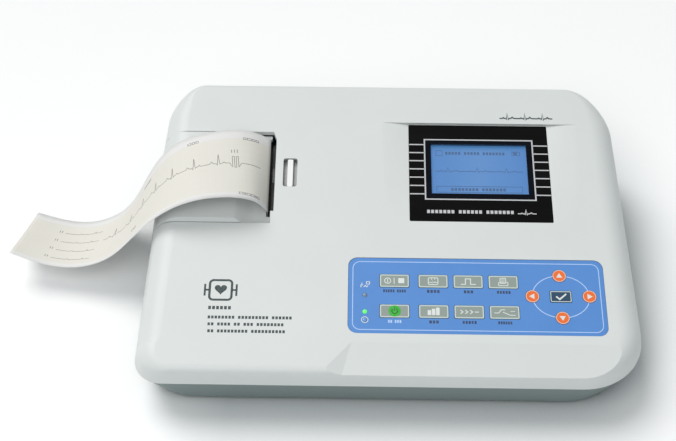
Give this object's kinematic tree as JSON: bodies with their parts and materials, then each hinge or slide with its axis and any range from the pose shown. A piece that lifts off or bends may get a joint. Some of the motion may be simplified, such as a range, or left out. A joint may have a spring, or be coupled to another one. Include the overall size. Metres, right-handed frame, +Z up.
{
  "type": "single channel ecg recorder",
  "caption": "Low wedge-shaped heart-signal recorder with a screen, membrane keypad and a hinged paper door; a printed strip runs out of the slot and over the left edge.",
  "frame": {"origin": "centre of the casing's footprint, on the surface the rubber feet stand on", "axes": "+X to the operator's right, +Y towards the back where the connectors are, +Z up"},
  "size_m": [0.4081, 0.2225, 0.0772],
  "materials": {
    "casing": "fine satin moulded ABS, off white",
    "casing_low": "fine satin moulded ABS, grey",
    "rubber": "matt",
    "steel": "zinc plated",
    "dark_steel": "blackened",
    "chrome_part": "nickel plated",
    "alu": "milled",
    "black_panel": "printed black, gloss",
    "lcd_glass": "blue backlit window",
    "lcd_cell": "blue backlit cell",
    "membrane": "blue printed membrane",
    "membrane_back": "clear polyester sheet",
    "key_grey": "grey printed membrane",
    "key_orange": "orange printed membrane",
    "key_navy": "navy printed membrane",
    "lamp": "clear light pipe",
    "board": "green solder mask",
    "black_plastic": "black nylon",
    "gear_plastic": "natural acetal",
    "paper": "cream thermal paper with white margins",
    "core": "brown board tube",
    "sleeve": "blue shrink sleeve",
    "latch_white": "white acetal"
  },
  "bodies": {
    "machine": {"top_shell": "casing", "bottom_shell": "casing_low", "rubber_feet": "rubber", "case_screws": "steel", "battery_cover": "casing_low", "battery_pack": "sleeve", "door_hinge_pin": "steel", "motor_body": "steel", "gear_plate": "steel", "paper_tray": "black_plastic", "roll_spindle": "gear_plastic", "print_head": "alu", "head_bracket": "steel", "head_springs": "steel", "tear_bar": "dark_steel", "latch_guide": "black_plastic", "latch_spring": "steel", "keypad_overlay": "membrane", "keypad_circuit": "membrane_back", "key_domes": "steel", "status_lamps": "lamp", "main_board": "board", "power_board": "board", "back_panel": "casing_low", "mains_inlet": "black_plastic", "inlet_blades": "chrome_part", "switch_housing": "black_plastic", "earth_pin": "chrome_part", "lead_socket": "chrome_part", "socket_jackscrews": "steel", "display_panel": "black_panel", "display_frame": "black_panel", "display_glass": "lcd_glass", "lcd_module": "lcd_cell"},
    "door": {"door_shell": "casing", "paper_strip": "paper"},
    "platen": {"platen_roller": "rubber", "platen_shaft": "steel"},
    "idler": {"idler_gear": "gear_plastic"},
    "pinion": {"motor_pinion": "gear_plastic"},
    "roll": {"paper_roll": "paper", "roll_core": "core"},
    "latch": {"latch_slider": "latch_white"},
    "rocker": {"switch_rocker": "black_plastic"},
    "fuse_holder": {"fuse_drawer": "black_plastic"},
    "key_a1": {"key_a1": "key_grey"},
    "key_a2": {"key_a2": "key_grey"},
    "key_a3": {"key_a3": "key_grey"},
    "key_a4": {"key_a4": "key_grey"},
    "key_b1": {"key_b1": "key_grey"},
    "key_b2": {"key_b2": "key_grey"},
    "key_b3": {"key_b3": "key_grey"},
    "key_b4": {"key_b4": "key_grey"},
    "key_left": {"key_left": "key_orange"},
    "key_right": {"key_right": "key_orange"},
    "key_up": {"key_up": "key_orange"},
    "key_down": {"key_down": "key_orange"},
    "key_set": {"key_set": "key_navy"}
  },
  "joints": [
    {"name": "recorder_door_hinge", "type": "hinge", "parent": "machine", "child": "door", "pos_m": [-0.1538, 0.0316, 0.0296], "axis": [0, -1, 0], "range_deg": [0, 70], "deforming": ["paper_strip"]},
    {"name": "platen_spin", "type": "hinge", "parent": "door", "child": "platen", "pos_m": [-0.0866, 0.03215, 0.04801], "axis": [0, 0.9848, 0.1736], "continuous": true},
    {"name": "idler_spin", "type": "hinge", "parent": "machine", "child": "idler", "pos_m": [-0.0837, 0.00521, 0.02801], "axis": [0, 0.9848, 0.1736], "continuous": true},
    {"name": "motor_spin", "type": "hinge", "parent": "machine", "child": "pinion", "pos_m": [-0.07026, 0.00616, 0.02266], "axis": [0, 0.9848, 0.1736], "continuous": true},
    {"name": "roll_spin", "type": "hinge", "parent": "machine", "child": "roll", "pos_m": [-0.113, 0.03778, 0.03682], "axis": [0, 0.9848, 0.1736], "continuous": true},
    {"name": "latch_slide", "type": "slide", "parent": "machine", "child": "latch", "axis": [1, 0, 0], "range_m": [0, 0.0022], "stiffness_N_per_m": 150, "springref_m": -0.001},
    {"name": "mains_switch_tilt", "type": "hinge", "parent": "machine", "child": "rocker", "pos_m": [0.088, 0.099, 0.049], "axis": [1, 0, 0], "range_deg": [-16, 0]},
    {"name": "fuse_drawer_slide", "type": "slide", "parent": "machine", "child": "fuse_holder", "axis": [0, 1, 0], "range_m": [0, 0.02]},
    {"name": "key_a1_press", "type": "slide", "parent": "machine", "child": "key_a1", "axis": [0, 0.1736, -0.9848], "range_m": [0, 0.0004], "stiffness_N_per_m": 600, "springref_m": -0.0003},
    {"name": "key_a2_press", "type": "slide", "parent": "machine", "child": "key_a2", "axis": [0, 0.1736, -0.9848], "range_m": [0, 0.0004], "stiffness_N_per_m": 600, "springref_m": -0.0003},
    {"name": "key_a3_press", "type": "slide", "parent": "machine", "child": "key_a3", "axis": [0, 0.1736, -0.9848], "range_m": [0, 0.0004], "stiffness_N_per_m": 600, "springref_m": -0.0003},
    {"name": "key_a4_press", "type": "slide", "parent": "machine", "child": "key_a4", "axis": [0, 0.1736, -0.9848], "range_m": [0, 0.0004], "stiffness_N_per_m": 600, "springref_m": -0.0003},
    {"name": "key_b1_press", "type": "slide", "parent": "machine", "child": "key_b1", "axis": [0, 0.1736, -0.9848], "range_m": [0, 0.0004], "stiffness_N_per_m": 600, "springref_m": -0.0003},
    {"name": "key_b2_press", "type": "slide", "parent": "machine", "child": "key_b2", "axis": [0, 0.1736, -0.9848], "range_m": [0, 0.0004], "stiffness_N_per_m": 600, "springref_m": -0.0003},
    {"name": "key_b3_press", "type": "slide", "parent": "machine", "child": "key_b3", "axis": [0, 0.1736, -0.9848], "range_m": [0, 0.0004], "stiffness_N_per_m": 600, "springref_m": -0.0003},
    {"name": "key_b4_press", "type": "slide", "parent": "machine", "child": "key_b4", "axis": [0, 0.1736, -0.9848], "range_m": [0, 0.0004], "stiffness_N_per_m": 600, "springref_m": -0.0003},
    {"name": "key_left_press", "type": "slide", "parent": "machine", "child": "key_left", "axis": [0, 0.1736, -0.9848], "range_m": [0, 0.0004], "stiffness_N_per_m": 600, "springref_m": -0.0003},
    {"name": "key_right_press", "type": "slide", "parent": "machine", "child": "key_right", "axis": [0, 0.1736, -0.9848], "range_m": [0, 0.0004], "stiffness_N_per_m": 600, "springref_m": -0.0003},
    {"name": "key_up_press", "type": "slide", "parent": "machine", "child": "key_up", "axis": [0, 0.1736, -0.9848], "range_m": [0, 0.0004], "stiffness_N_per_m": 600, "springref_m": -0.0003},
    {"name": "key_down_press", "type": "slide", "parent": "machine", "child": "key_down", "axis": [0, 0.1736, -0.9848], "range_m": [0, 0.0004], "stiffness_N_per_m": 600, "springref_m": -0.0003},
    {"name": "key_set_press", "type": "slide", "parent": "machine", "child": "key_set", "axis": [0, 0.1736, -0.9848], "range_m": [0, 0.0004], "stiffness_N_per_m": 600, "springref_m": -0.0003}
  ],
  "couplings": [
    {"joint": "idler_spin", "follows": "platen_spin", "ratio": -0.72727},
    {"joint": "motor_spin", "follows": "platen_spin", "ratio": 1.1429},
    {"joint": "roll_spin", "follows": "platen_spin", "ratio": 0.35}
  ]
}
